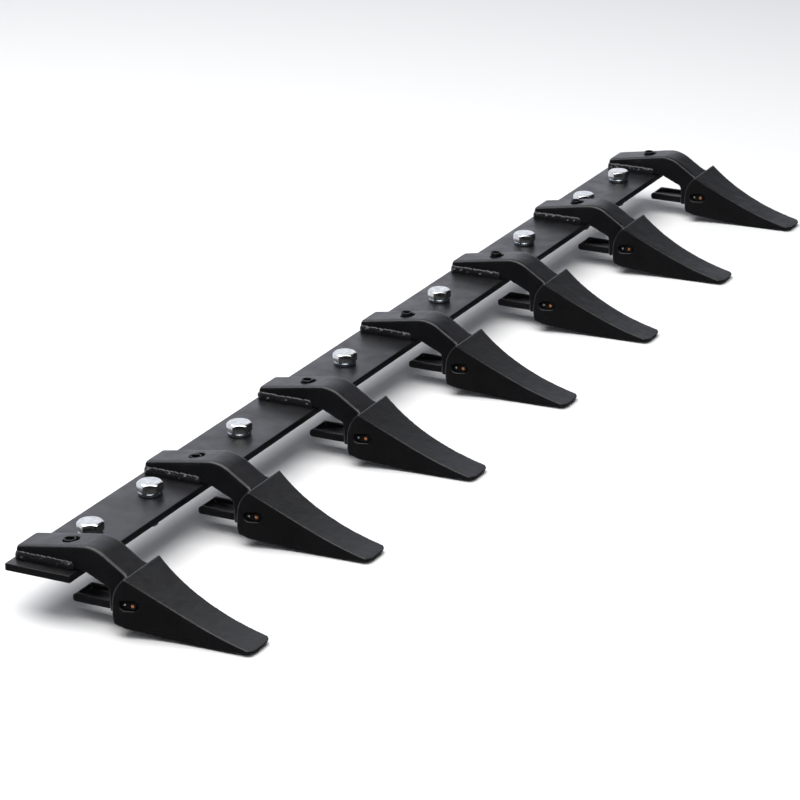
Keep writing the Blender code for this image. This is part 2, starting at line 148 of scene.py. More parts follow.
# teeth: a hollow wedge whose rear edge sweeps back over the nose
TOOTH_BACK = FRONT - 61.8          # top rear edge of a tooth
TOOTH_LENGTH = 132.0
TOOTH_REAR_TOP = 16.0
TOOTH_TIP_TOP = -41.5
TOOTH_REAR_BOTTOM = -34.5
TOOTH_TIP_BOTTOM = -44.5
TOOTH_BOW = 7.2
TOOTH_SKIRT = 13.0
TOOTH_WIDTH = 71.0
TIP_WIDTH = 43.0
TIP_ROUND = 3.4
TIP_NARROWING = 0.72
TIP_PINCH = 0.4
TOOTH_EDGE = 1.0
TIP_STEPS = 7
TOOTH_STATIONS = (0.0, 4.0, 8.0, 12.5, 17.0, 22.5, 28.0, 35.0, 42.0, 50.0, 58.0, 67.0, 76.0, 86.0, 96.0,
                  106.0, 116.0, 122.0)
SKIRT_SPARE = 8.0          # extra length behind the tooth, which the sweep then cuts off
SWEEP_UPPER, SWEEP_LOWER = (1.0, 6.0), (4.5, -14.0)
SWEEP_STEPS = 24
SWEEP_LEAD, SWEEP_LEAVE = 15.0, 2.0
SWEEP_ABOVE, SWEEP_BELOW, SWEEP_BEHIND = 18.0, 12.0, 40.0
SKIN_ALLOWANCE = 0.08      # keeps the cast skin inside the tooth's stated height
FLARE_POWER = 3.6
WALL_TOP, WALL_BOTTOM, WALL_SIDE = 7.0, 6.0, 9.0
POCKET_CLEARANCE = 1.0
MOUTH_ROUND = 1.0
POCKET_MOUTH = 12.0
NOSE_LENGTH = 54.0

# the pins' holes and the flex pins
STRAP_HOLE_RADIUS = 8.8
STRAP_HOLE_Y = FRONT + 18.8
PIN_HOLE_RADIUS = 6.85
PIN_HOLE_OFFSET = 1.6
FLEX_AHEAD = 3.2           # of the tooth's top rear edge
FLEX_Y, FLEX_Z = TOOTH_BACK - FLEX_AHEAD, -12.7
FLEX_LONG, FLEX_SHORT = 17.6, 8.6
FLEX_CLEARANCE = 0.7
FLEX_END = 0.5
FLEX_RECESS = 2.2          # how deep the pin's rubber sits in the tooth's side
FLEX_REAR_ROD, FLEX_FRONT_ROD = 1.5, 2.1      # radii
FLEX_ROD_SPACING = 8.7
ROD_DOME = 1.1
ROD_PROUD = 0.25
ROD_SIDES = 24
ROD_PLAY = 0.05
ROD_CUT = 60.0

# bolts, washers and nuts
BOLT_RADIUS = 7.95
BOLT_HOLE_RADIUS = 8.75
BOLT_PLAIN_RADIUS = BOLT_RADIUS - 0.1          # of the shank under the head
BOLT_END_RADIUS = BOLT_RADIUS - 1.9
POINT_INSET, POINT_SLOPE, POINT_EDGE = 1.7, 0.9, 0.2
BOLT_LENGTH = 40.0
HEAD_HEIGHT = 10.0
CAP_RADIUS = 2.0           # the ring round the middle of the bolt's end
NUT_HEIGHT = 13.9
NUT_MOUTH_RADIUS = BOLT_RADIUS + 0.6
NUT_EDGE = 0.3
WASHER_HEIGHT = 4.0
WASHER_SINK = 0.1
THREAD_PITCH = 2.309       # 11 threads to the inch
THREAD_DEPTH = 1.3
THREAD_PLAY = 0.35
HEX_FLATS = 25.2
HEX_CHAMFER = 1.9
HEX_EASE = 0.28            # how far the chamfer's edge is eased
HEX_FACE = HEX_FLATS / 2 * 0.95        # radius of the flat inside the chamfer
HEX_SHARES = (0.0, 0.035, 0.15, 0.3, 0.5, 0.7, 0.85, 0.965)     # columns along one side, from its corner
HEX_SHARPNESS = 0.94
THREAD_FLANK, THREAD_ROOT = 1.3, 0.15          # how steep the flanks and how wide the root, as shares
THREAD_RUN_OUT = 2.0
BOLT_ROWS, NUT_ROWS = 12, 10           # rows of points to one turn of thread

# surfaces and welds
CORNER_STEPS = 4
CAST_VOXEL, WELD_VOXEL = 1.15, 0.75    # fineness of the castings' and the welds' skins
PUSH_IN, PUSH_OUT = 0.5, -0.53         # shares of the way to the neighbours' middle
SHANK_ROUNDS, TOOTH_ROUNDS, WELD_ROUNDS = 8, 3, 2
WELD_REAR, WELD_FRONT = STRAP_REAR - 1.0, FRONT + 8.0
WELD_TURN = 3.0
FILLET_PLACE, LUMPS_PLACE = (0.2, 3.0), (1.2, 4.0)     # out from the strap's side and up from the bar
FILLET_PUDDLES = {"spacing": 2.4, "puddle": (4.4, 3.0, 6.3), "least": 0.95, "most": 1.05, "wander": 0.15}
LUMPS_PUDDLES = {"spacing": 4.4, "puddle": (2.9, 2.4, 2.6), "least": 0.55, "most": 1.2, "wander": 1.4}
LUMPS_SEED = 50

# rolled pins, split washers and cast skins
ROLLED_PIN = {"bore": 9.4, "opening": 0.05, "edge": 0.7, "step": 0.0}
ROLLED_PIN_TURN = 100.0                # degrees
SPLIT_WASHER = {"bore": 16.9, "opening": 0.025, "edge": 1.1, "step": 0.2}
WASHER_THINNING = 0.25                 # leaves room for the step between its ends
SHANK_SKIN, TOOTH_SKIN = (0.14, 9.0), (0.16, 11.0)     # depth and grain of a casting's skin
SKIN_SPACING = 400.0                   # how far apart in the noise two castings are taken
CAST_CREASE = 75.0                     # degrees


# ---- mesh helpers ----
SCRATCH = bpy.data.collections.new("scratch")
PIECES = bpy.data.collections.new("finished_pieces")
for made_collection in (SCRATCH, PIECES):
    bpy.context.scene.collection.children.link(made_collection)


def blend(a, b, share):
    return a + (b - a) * share


def evaluated_mesh(thing):
    bpy.context.view_layer.update()
    return bpy.data.meshes.new_from_object(thing.evaluated_get(bpy.context.evaluated_depsgraph_get()))


def scratch_object(mesh):
    made = bpy.data.objects.new("scratch", mesh)
    SCRATCH.objects.link(made)
    return made


def from_bmesh(bm):
    bmesh.ops.recalc_face_normals(bm, faces=bm.faces)
    mesh = bpy.data.meshes.new("scratch")
    bm.to_mesh(mesh)
    bm.free()
    return scratch_object(mesh)


def loft(rings):
    """A closed solid through rings of matching points, capped at both ends."""
    bm = bmesh.new()
    loops = [[bm.verts.new(point) for point in ring] for ring in rings]
    for low, high in zip(loops, loops[1:]):
        for k in range(len(low)):
            n = (k + 1) % len(low)
            bm.faces.new((low[k], low[n], high[n], high[k]))
    bm.faces.new(reversed(loops[0]))
    bm.faces.new(loops[-1])
    return from_bmesh(bm)


def side_prism(outline, half_width):
    """A flat outline of (y, z) points, given its thickness along X."""
    return loft([[(x, y, z) for y, z in outline] for x in (-half_width, half_width)])


def cylinder(radius, low, high, x=0.0, y=0.0, sides=48, top_radius=None):
    bm = bmesh.new()
    place_there = Matrix.Translation((x, y, (low + high) / 2))
    bmesh.ops.create_cone(bm, cap_ends=True, segments=sides, radius1=radius, matrix=place_there,
                          radius2=radius if top_radius is None else top_radius, depth=high - low)
    return from_bmesh(bm)


def combine(base, others, operation):
    """Join others to base, or cut them from it."""
    for other in others:
        modifier = base.modifiers.new("combine", "BOOLEAN")
        modifier.operation = operation
        modifier.solver = "EXACT"
        modifier.object = other
    mesh = evaluated_mesh(base)
    for spent in [base, *others]:
        bpy.data.objects.remove(spent)
    return scratch_object(mesh)


def relax(mesh, rounds):
    """Even out small steps without shrinking the shape: each push in is followed by a push out."""
    count = len(mesh.vertices)
    points = np.empty(count * 3)
    mesh.vertices.foreach_get("co", points)
    points = points.reshape(-1, 3)
    ends = np.empty(len(mesh.edges) * 2, dtype=int)
    mesh.edges.foreach_get("vertices", ends)
    a, b = ends.reshape(-1, 2).T
    neighbours = np.bincount(np.concatenate((a, b)), minlength=count)[:, None]
    for push in (PUSH_IN, PUSH_OUT) * rounds:
        total = np.zeros_like(points)
        np.add.at(total, a, points[b])
        np.add.at(total, b, points[a])
        points += push * (total / neighbours - points)
    mesh.vertices.foreach_set("co", points.ravel())
    mesh.update()


def fuse(solid, voxel, rounds):
    """Melt a solid's parts into one skin whose corners are rounded by about a voxel."""
    remesh = solid.modifiers.new("fuse", "REMESH")
    remesh.mode = "VOXEL"
    remesh.voxel_size = voxel
    mesh = evaluated_mesh(solid)
    bpy.data.objects.remove(solid)
    relax(mesh, rounds)
    return mesh


def roughen(mesh, depth, grain, offset):
    """Sink a casting's skin by up to twice the depth, in swells a grain wide."""
    count = len(mesh.vertices)
    points, normals = np.empty(count * 3), np.empty(count * 3)
    mesh.vertices.foreach_get("co", points)
    mesh.vertex_normals.foreach_get("vector", normals)
    points, normals = points.reshape(-1, 3), normals.reshape(-1, 3)
    places = (points + np.array(offset)) / grain
    swells = np.array([noise.noise(place_there) for place_there in places.tolist()])
    mesh.vertices.foreach_set("co", (points + normals * (depth * (swells - 1.0))[:, None]).ravel())
    mesh.update()


def place(name, mesh, finish, body, nodes=(), at=(0.0, 0.0, 0.0), crease=35.0):
    """Set a shape down as one finished piece that rides on a body and stands for some CAD nodes."""
    mesh = mesh.copy()
    mesh.name = name
    mesh.transform(Matrix.Scale(MM, 4) @ Matrix.Translation(at))
    mesh.materials.clear()
    mesh.materials.append(finish)
    mesh.shade_smooth()
    mesh.set_sharp_from_angle(angle=math.radians(crease))
    made = bpy.data.objects.new(name, mesh)
    PIECES.objects.link(made)
    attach(made, body)
    if nodes:
        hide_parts(*nodes)
    return made


# ---- materials ----
NOISE_LOW, NOISE_HIGH = 0.3, 0.7       # between these lie nearly all values of a noise
METAL_SHEEN_SPREAD = 0.06


def srgb(code):
    """A hex colour, turned to linear light."""
    channels = [int(code[k:k + 2], 16) / 255 for k in (1, 3, 5)]
    linear = [c / 12.92 if c <= 0.04045 else ((c + 0.055) / 1.055) ** 2.4 for c in channels]
    return (*linear, 1.0)


def add(tree, kind, sockets=None, **settings):
    """Add a node, set its properties, and fill its inputs with values or other nodes' outputs."""
    node = tree.nodes.new(kind)
    for name, value in settings.items():
        setattr(node, name, value)
    for name, value in (sockets or {}).items():
        if isinstance(value, bpy.types.NodeSocket):
            tree.links.new(value, node.inputs[name])
        else:
            node.inputs[name].default_value = value
    return node


def new_material(name, **values):
    """A material with one Principled shader whose plain values are set on its own sockets."""
    made = bpy.data.materials.new(name)
    made.use_nodes = True
    tree = made.node_tree
    shader = tree.nodes["Principled BSDF"]
    for socket, value in values.items():
        shader.inputs[socket.replace("_", " ")].default_value = value
    return made, tree, shader


def surface_noise(tree, size_mm, detail=3.0, stretch=(1.0, 1.0, 1.0)):
    """Noise whose cells are size_mm across on the object, drawn out along an axis by stretch."""
    here = add(tree, "ShaderNodeTexCoord").outputs["Object"]
    scale = [1 / (size_mm * MM * s) for s in stretch]
    sized = add(tree, "ShaderNodeMapping", {"Vector": here, "Scale": scale})
    cells = {"Vector": sized.outputs["Vector"], "Scale": 1.0, "Detail": detail}
    return add(tree, "ShaderNodeTexNoise", cells).outputs["Fac"]


def spread(tree, value, low, high, start=NOISE_LOW, end=NOISE_HIGH):
    """Stretch a noise value so that its usual range runs from low to high."""
    ends = {"Value": value, "From Min": start, "From Max": end, "To Min": low, "To Max": high}
    return add(tree, "ShaderNodeMapRange", ends).outputs["Result"]


def tint(tree, value, dark, light):
    """Colours from dark to light as a noise value rises."""
    ramp = add(tree, "ShaderNodeValToRGB", {"Fac": value})
    ramp.color_ramp.elements[0].position = NOISE_LOW
    ramp.color_ramp.elements[1].position = NOISE_HIGH
    ramp.color_ramp.elements[0].color = srgb(dark)
    ramp.color_ramp.elements[1].color = srgb(light)
    return ramp.outputs["Color"]


def bump(tree, height, depth_mm, below=None):
    sockets = {"Height": height, "Distance": depth_mm * MM, "Strength": 1.0}
    if below is not None:
        sockets["Normal"] = below
    return add(tree, "ShaderNodeBump", sockets).outputs["Normal"]


def painted(name, dark, light, roughness, sheen_spread, peel, grain):
    """Black powder coat: melted beads of paint leave a fine orange peel over what lies under them.

    peel and grain are each a cell size and a depth in millimetres.
    """
    made, tree, shader = new_material(name, IOR=1.5)
    links = tree.links
    patches = surface_noise(tree, 60.0)
    links.new(tint(tree, patches, dark, light), shader.inputs["Base Color"])
    low, high = roughness - sheen_spread, roughness + sheen_spread
    links.new(spread(tree, surface_noise(tree, 22.0, 4.0), low, high), shader.inputs["Roughness"])
    under = bump(tree, surface_noise(tree, grain[0], 4.0), grain[1])
    links.new(bump(tree, surface_noise(tree, peel[0], 1.0), peel[1], under), shader.inputs["Normal"])
    return made


# powder coat over hot-rolled flat bar: smooth and satin, so that it mirrors soft light faintly
BAR_PAINT = painted("powder_coat_rolled_steel", "#101011", "#141416", 0.37, 0.08,
                    peel=(1.6, 0.03), grain=(30.0, 0.12))
# powder coat over a sand casting: duller, with the sand's grain showing through
CAST_PAINT = painted("powder_coat_sand_cast_steel", "#0f0f11", "#131315", 0.42, 0.06,
                     peel=(1.4, 0.09), grain=(4.5, 0.28))
# powder coat over a forging: between the two
FORGED_PAINT = painted("powder_coat_forged_steel", "#101012", "#151518", 0.38, 0.05,
                       peel=(1.5, 0.05), grain=(7.0, 0.14))
# powder coat over weld metal: it pools between the ripples and shines on their crowns
WELD_PAINT = painted("powder_coat_weld_metal", "#17171a", "#222226", 0.27, 0.07,
                     peel=(1.2, 0.04), grain=(3.0, 0.20))


def plated(name, dark, light, roughness, streak_mm, streak_depth, metallic=1.0):
    """Bright metal with cloudy patches and the fine lines of its forming."""
    made, tree, shader = new_material(name, Metallic=metallic)
    links = tree.links
    links.new(tint(tree, surface_noise(tree, 6.0, 4.0), dark, light), shader.inputs["Base Color"])
    low, high = roughness - METAL_SHEEN_SPREAD, roughness + METAL_SHEEN_SPREAD
    links.new(spread(tree, surface_noise(tree, 3.0, 5.0), low, high), shader.inputs["Roughness"])
    lines = surface_noise(tree, streak_mm, 2.0, (6.0, 6.0, 1.0))
    links.new(bump(tree, lines, streak_depth), shader.inputs["Normal"])
    return made


# bright zinc plate on cold-headed bolts: silvery, slightly blue, with soft mirror patches
ZINC = plated("bright_zinc_plate", "#cdcfce", "#eeeeea", 0.20, 0.5, 0.012)
# zinc plate on coiled spring wire: the same, a little greyer and bluer
ZINC_SPRING = plated("zinc_plated_spring_steel", "#a9b3bd", "#cdd5dc", 0.26, 0.6, 0.015)
# cold-drawn steel rod, sheared and tumbled: its thin oxide scatters some light
BRIGHT_STEEL = plated("cold_drawn_steel", "#a9a8a6", "#cbc9c5", 0.32, 0.5, 0.01, metallic=0.4)
# drawn rod with a copper wash from its drawing bath, dulled in the same way
COPPERED_STEEL = plated("copper_washed_steel", "#b0602e", "#e09a66", 0.34, 0.5, 0.01, metallic=0.4)

# oil-blackened spring steel, rolled from strip: dark, with a low shine on its edges
BLACK_STEEL, black_tree, black_shader = new_material("oil_blackened_spring_steel", Metallic=0.85)
black_tree.links.new(tint(black_tree, surface_noise(black_tree, 5.0, 4.0), "#1d1d1f", "#38383b"),
                     black_shader.inputs["Base Color"])
black_tree.links.new(spread(black_tree, surface_noise(black_tree, 2.0, 4.0), 0.30, 0.44),
                     black_shader.inputs["Roughness"])

# moulded natural rubber, bonded to the rods: matt and almost black
RUBBER, rubber_tree, rubber_shader = new_material("moulded_rubber", Roughness=0.9, IOR=1.4)
rubber_tree.links.new(tint(rubber_tree, surface_noise(rubber_tree, 4.0), "#050505", "#0a0a0a"),
                      rubber_shader.inputs["Base Color"])
rubber_tree.links.new(bump(rubber_tree, surface_noise(rubber_tree, 0.9), 0.05),
                      rubber_shader.inputs["Normal"])


# ---- bar ----
def rounded_outline(low, high, radius, steps=4):
    """A rectangle of (y, z) points with round corners."""
    outline = []
    for corner in range(4):
        y = high[0] - radius if corner in (0, 3) else low[0] + radius
        z = high[1] - radius if corner in (0, 1) else low[1] + radius
        for k in range(steps + 1):
            angle = (corner + k / steps) * math.pi / 2
            outline.append((y + radius * math.cos(angle), z + radius * math.sin(angle)))
    return outline


def ends_dressed(half, dressing, inner, outline):
    """Rings along X for a bar of (y, z) outline whose ends taper to a smaller one."""
    return [[(x, y, z) for y, z in shape] for x, shape in
            ((-half, inner), (dressing - half, outline), (half - dressing, outline), (half, inner))]


def make_bar():
    half = (BAR_HIGH.x - BAR_LOW.x) / 2
    outline = rounded_outline((FRONT, 0.0), (REAR, TOP), BAR_EDGE)
    inner = rounded_outline((FRONT + BAR_END, BAR_END), (REAR - BAR_END, TOP - BAR_END),
                            BAR_EDGE - BAR_END_LOSS)
    bar = loft(ends_dressed(half, BAR_END, inner, outline))
    bores = [(x, 0.0, BOLT_HOLE_RADIUS) for x in BOLT_XS]
    bores += [(x, STRAP_HOLE_Y + PIN_HOLE_OFFSET, PIN_HOLE_RADIUS) for x in TOOTH_XS]
    cuts = []
    for x, y, radius in bores:
        eased = radius + HOLE_EASE
        cuts.append(cylinder(radius, -CUT_PAST, TOP + CUT_PAST, x, y))
        cuts.append(cylinder(radius, TOP - HOLE_EASE_DEPTH, TOP + HOLE_EASE_DEPTH, x, y, top_radius=eased))
        cuts.append(cylinder(eased, -HOLE_EASE_DEPTH, HOLE_EASE_DEPTH, x, y, top_radius=radius))
    return combine(bar, cuts, "DIFFERENCE").data


# ---- shanks and teeth ----
def section(y, low, high, half, top_width, top_drop, bottom):
    """A rectangle across X at one y, with its top corners rounded and its bottom corners cut."""
    bend = []
    for k in range(CORNER_STEPS + 1):
        turn = k / CORNER_STEPS * math.pi / 2
        bend.append((half - top_width * (1 - math.cos(turn)), high - top_drop * (1 - math.sin(turn))))
    return ([(-half, y, low + bottom)] + [(-x, y, z) for x, z in bend]
            + [(x, y, z) for x, z in reversed(bend)]
            + [(half, y, low + bottom), (half - bottom, y, low), (-half + bottom, y, low)])


def tooth_top(ahead):
    u = ahead / TOOTH_LENGTH
    return blend(TOOTH_REAR_TOP, TOOTH_TIP_TOP, u) - 4 * TOOTH_BOW * u * (1 - u)


def tooth_bottom(ahead):
    u = (ahead + TOOTH_SKIRT) / (TOOTH_LENGTH + TOOTH_SKIRT)
    return blend(TOOTH_REAR_BOTTOM, TOOTH_TIP_BOTTOM, u) - 4 * TOOTH_BOW * u * (1 - u)


def tooth_half(ahead):
    u = min(max(ahead / TOOTH_LENGTH, 0.0), 1.0)
    return (TIP_WIDTH + (TOOTH_WIDTH - TIP_WIDTH) * (1 - u) ** FLARE_POWER) / 2


def tooth_section(ahead, half, pinch=0.0):
    low, high = tooth_bottom(ahead) + pinch, tooth_top(ahead) - pinch
    edge = min(TOOTH_EDGE, (high - low) / 3)
    return section(TOOTH_BACK - ahead, low, high, half, edge, edge, edge)


def nose_section(ahead, outset, half=None, corner=NOSE_ROUND):
    half = half or tooth_half(ahead) - WALL_SIDE - POCKET_CLEARANCE
    low, high = tooth_bottom(ahead) + WALL_BOTTOM - outset, tooth_top(ahead) - WALL_TOP + outset
    return section(TOOTH_BACK - ahead, low, high, half + outset, corner, corner, corner)


def strap_top(ahead):
    """Height of the strap's and neck's crown; ahead is measured from the bar's front edge."""
    corner = TOP + STRAP_FRONT_HEIGHT
    rise = (STRAP_FRONT_HEIGHT - STRAP_REAR_HEIGHT) / (HUMP_REACH + STRAP_REAR - FRONT)
    fall = (corner - tooth_top(0) + WALL_TOP) / (FRONT - TOOTH_BACK - HUMP_REACH)
    tangent = HUMP_RADIUS * math.tan((math.atan(rise) + math.atan(fall)) / 2)
    start = HUMP_REACH - tangent * math.cos(math.atan(rise))
    end = HUMP_REACH + tangent * math.cos(math.atan(fall))
    if ahead <= start:
        return corner - rise * (HUMP_REACH - ahead)
    if ahead >= end:
        return corner - fall * (ahead - HUMP_REACH)
    middle = start + HUMP_RADIUS * math.sin(math.atan(rise))
    crown = corner - rise * (HUMP_REACH - start) - HUMP_RADIUS * math.cos(math.atan(rise))
    return crown + math.sqrt(HUMP_RADIUS ** 2 - (ahead - middle) ** 2)


def stadium(y, z, length, height, steps=10):
    """Outline of a slot: two half circles joined by straight sides."""
    radius = height / 2
    ends = []
    for side in (1, -1):
        for k in range(steps + 1):
            angle = side * math.pi / 2 - k * math.pi / steps
            ends.append((y + side * (length / 2 - radius) + radius * math.cos(angle),
                         z + radius * math.sin(angle)))
    return ends


def flex_outline(outset):
    return stadium(FLEX_Y, FLEX_Z, FLEX_LONG + 2 * outset, FLEX_SHORT + 2 * outset)


def make_shank():
    rear = FRONT - STRAP_REAR
    base = TOP + SEAT_GAP
    last = THROAT_REACH - THROAT_CORNER

    def strap_section(ahead, low, drop=0.0, corner=SHARP):
        return section(FRONT - ahead, low, strap_top(ahead) - drop, STRAP_HALF, *STRAP_ROUND, corner)

    rings = [strap_section(rear, base, STRAP_REAR_EDGE), strap_section(rear + STRAP_REAR_EDGE, base)]
    rings += [strap_section(ahead, base) for ahead in STRAP_STATIONS]
    for k in range(NECK_STEPS + 1):
        share = k / NECK_STEPS
        rings.append(strap_section(blend(NECK_START, last, share), blend(base, -THROAT_DROP, share)))
    rings.append(strap_section(THROAT_REACH - THROAT_STEP, -THROAT_DROP - THROAT_FALL))
    rings.append(strap_section(THROAT_REACH, LEG_LOW))
    rings.append(strap_section(FRONT - TOOTH_BACK - TOOTH_SKIRT + SKIRT_OVERLAP, LEG_LOW, corner=NOSE_ROUND))
    rings += [nose_section(NOSE_LENGTH * k / NOSE_STEPS, 0.0) for k in range(NOSE_STEPS + 1)]
    body = loft(rings)

    bottom = LEG_LOW + LEG_STEP
    leg_front = FRONT - THROAT_REACH - LEG_ROOT
    outline = [(leg_front, bottom), (leg_front, -LIP_GAP)]
    for corner_z, first in ((-LIP_GAP - LEG_ROUND, 90), (bottom + LEG_ROUND, 0)):
        for k in range(ROUND_STEPS + 1):
            angle = math.radians(first - 90 / ROUND_STEPS * k)
            outline.append((LEG_REAR - LEG_ROUND + LEG_ROUND * math.cos(angle),
                            corner_z + LEG_ROUND * math.sin(angle)))
    shank = combine(body, [side_prism(outline, LEG_HALF)], "UNION")

    inner = LEG_HALF - RECESS_RIM
    tray_low, tray_high = -LIP_GAP - RECESS_DEPTH, -LIP_GAP + RECESS_PAST
    tray = loft([section(y, tray_low, tray_high, inner, SHARP, SHARP, RECESS_CORNER)
                 for y in (FRONT - THROAT_REACH + RECESS_FROM_THROAT, LEG_REAR - RECESS_RIM)])
    hole = cylinder(STRAP_HOLE_RADIUS, TOP - CUT_PAST, TOP + STRAP_CUT_HEIGHT, y=STRAP_HOLE_Y)
    pin_hole = side_prism(flex_outline(FLEX_CLEARANCE), TOOTH_WIDTH)
    return fuse(combine(shank, [tray, hole, pin_hole], "DIFFERENCE"), CAST_VOXEL, SHANK_ROUNDS)


def make_tooth():
    rings = [tooth_section(ahead, tooth_half(ahead), SKIN_ALLOWANCE)
             for ahead in (-TOOTH_SKIRT - SKIRT_SPARE, *TOOTH_STATIONS)]
    for k in range(TIP_STEPS + 1):
        turn = k / TIP_STEPS * math.pi / 2
        half = TIP_WIDTH / 2 * (1 - TIP_NARROWING * (1 - math.cos(turn)))
        rings.append(tooth_section(TOOTH_LENGTH - TIP_ROUND + 2 * TIP_ROUND * math.sin(turn), half,
                                   SKIN_ALLOWANCE + TIP_PINCH * k / TIP_STEPS))
    outer = loft(rings)

    *pocket, end = [nose_section(NOSE_LENGTH * k / NOSE_STEPS, POCKET_CLEARANCE)
                    for k in range(NOSE_STEPS + 1)]
    pocket.append([(x, y - 2 * POCKET_CLEARANCE, z) for x, y, z in end])
    mouth_half = tooth_half(0) - WALL_SIDE - POCKET_CLEARANCE
    mouth = nose_section(-TOOTH_SKIRT - POCKET_MOUTH, POCKET_CLEARANCE, mouth_half, MOUTH_ROUND)
    hollow = loft([mouth, *pocket])

    # the rear edge sweeps back from the top corner, round the cheek and in again at the bottom
    top, skirt = TOOTH_BACK, TOOTH_BACK + TOOTH_SKIRT
    edge = interpolate_bezier((top, TOOTH_REAR_TOP), (skirt + SWEEP_UPPER[0], SWEEP_UPPER[1]),
                              (skirt + SWEEP_LOWER[0], SWEEP_LOWER[1]), (skirt, TOOTH_REAR_BOTTOM),
                              SWEEP_STEPS)
    above, below = TOOTH_REAR_TOP + SWEEP_ABOVE, TOOTH_REAR_BOTTOM - SWEEP_BELOW
    outline = [(top - SWEEP_LEAD, above)] + [(point[0], point[1]) for point in edge]
    outline += [(skirt - SWEEP_LEAVE, below), (skirt + SWEEP_BEHIND, below), (skirt + SWEEP_BEHIND, above)]
    behind = side_prism(outline, TOOTH_WIDTH)
    pin_hole = side_prism(flex_outline(FLEX_CLEARANCE), TOOTH_WIDTH)
    return fuse(combine(outer, [hollow, behind, pin_hole], "DIFFERENCE"), CAST_VOXEL, TOOTH_ROUNDS)


# ---- turned parts ----
def turned(columns, profile, ring_shaped=False):
    """A skin through profile(angle), a list of (radius, z) for each column's angle.

    A ring-shaped skin closes on itself along its profile; any other is closed by a pole at each end.
    """
    bm = bmesh.new()
    grid = []
    for angle in columns:
        grid.append([bm.verts.new((r * math.cos(angle), r * math.sin(angle), z)) for r, z in profile(angle)])
    rows = len(grid[0])
    for column, after in zip(grid, grid[1:] + grid[:1]):
        for k in range(rows if ring_shaped else rows - 1):
            n = (k + 1) % rows
            bm.faces.new((column[k], column[n], after[n], after[k]))
    if not ring_shaped:
        for end in (0, -1):
            pole = bm.verts.new((0, 0, grid[0][end].co.z))
            for column, after in zip(grid, grid[1:] + grid[:1]):
                bm.faces.new((column[end], after[end], pole))
    return from_bmesh(bm).data


HEX_COLUMNS = []                   # angles round a hexagon, closer together at its corners
for hex_side in range(6):
    for share in HEX_SHARES:
        HEX_COLUMNS.append((hex_side + share) * math.pi / 3)


def hex_radius(angle):
    """Radius of a hexagon whose corners are at multiples of 60 degrees and slightly rounded."""
    off_middle = abs((angle % (math.pi / 3)) - math.pi / 6)
    off_middle = min(off_middle, math.pi / 6 * HEX_SHARPNESS)
    return HEX_FLATS / 2 / math.cos(off_middle)


def thread_radius(angle, z, play=0.0):
    """Crest and root of a right-hand screw thread, where z is measured on the bolt."""
    turn = (z / THREAD_PITCH - angle / FULL_TURN) % 1.0
    height = min(max(abs(2 * turn - 1) * THREAD_FLANK - THREAD_ROOT, 0.0), 1.0)
    return BOLT_RADIUS - THREAD_DEPTH * (1 - height) + play


def hex_edge(angle, z, inward):
    """Rows from a hexagon's flat end face over the turned chamfer to its side, with eased edges.

    inward is the direction into the metal, +1 up or -1 down.
    """
    corner = HEX_FLATS / math.sqrt(3)
    side = hex_radius(angle)
    meets = (side - HEX_FACE) * HEX_CHAMFER / (corner - HEX_FACE)      # the chamfer's depth at the side
    return [(HEX_FACE - 0.5, z), (HEX_FACE - 0.1, z + inward * 0.06),
            (side - HEX_EASE, z + inward * max(meets - 0.16, 0.1)),
            (side - 0.08, z + inward * (meets + 0.03)), (side, z + inward * (meets + HEX_EASE))]


def make_bolt():
    head_low = TOP + WASHER_HEIGHT + 2 * SEAT_GAP
    head_high = head_low + HEAD_HEIGHT
    end = head_low - BOLT_LENGTH
    step = THREAD_PITCH / BOLT_ROWS

    def profile(angle):
        side = hex_radius(angle)
        rows = [(HEX_FACE * 0.5, head_high)] + hex_edge(angle, head_high, -1)
        # the head's underside, the fillet below it and the plain shank
        rows += [(side, head_low + 0.3), (side - 0.3, head_low), (BOLT_RADIUS + 0.8, head_low),
                 (BOLT_RADIUS + 0.2, head_low - 0.15), (BOLT_PLAIN_RADIUS, head_low - 0.6)]
        z = head_low - THREAD_RUN_OUT
        while z > end + POINT_EDGE:
            run_out = min(1.0, (head_low - THREAD_RUN_OUT - z) / THREAD_RUN_OUT)
            radius = blend(BOLT_PLAIN_RADIUS, thread_radius(angle, z), run_out)
            taper = BOLT_RADIUS - POINT_INSET + (z - end) * POINT_SLOPE
            rows.append((min(radius, taper), z))
            z -= step
        rows += [(BOLT_END_RADIUS, end), (CAP_RADIUS, end)]
        return rows

    return turned(HEX_COLUMNS, profile)


def make_nut():
    high = -SEAT_GAP
    low = high - NUT_HEIGHT
    step = THREAD_PITCH / NUT_ROWS

    def profile(angle):
        rows = [(NUT_MOUTH_RADIUS, low)] + hex_edge(angle, low, 1)
        rows += list(reversed(hex_edge(angle, high, -1))) + [(NUT_MOUTH_RADIUS, high)]
        z = high - NUT_EDGE
        while z > low + NUT_EDGE:
            lead = min(z - low, high - z)
            rows.append((max(thread_radius(angle, z, THREAD_PLAY), NUT_MOUTH_RADIUS - lead), z))
            z -= step
        return rows

    return turned(HEX_COLUMNS, profile, ring_shaped=True)


ROD_COLUMNS = [FULL_TURN * k / ROD_SIDES for k in range(ROD_SIDES)]


def make_rod(radius, half_length):
    """A short rod along X with domed ends."""
    def profile(_angle):
        dome = [(radius * math.cos(a), half_length - ROD_DOME + ROD_DOME * math.sin(a))
                for a in (math.radians(d) for d in (80, 60, 40, 20, 0))]
        return dome + [(r, -z) for r, z in reversed(dome)]

    mesh = turned(ROD_COLUMNS, profile)
    mesh.transform(Matrix.Rotation(math.pi / 2, 4, "Y"))
    return mesh


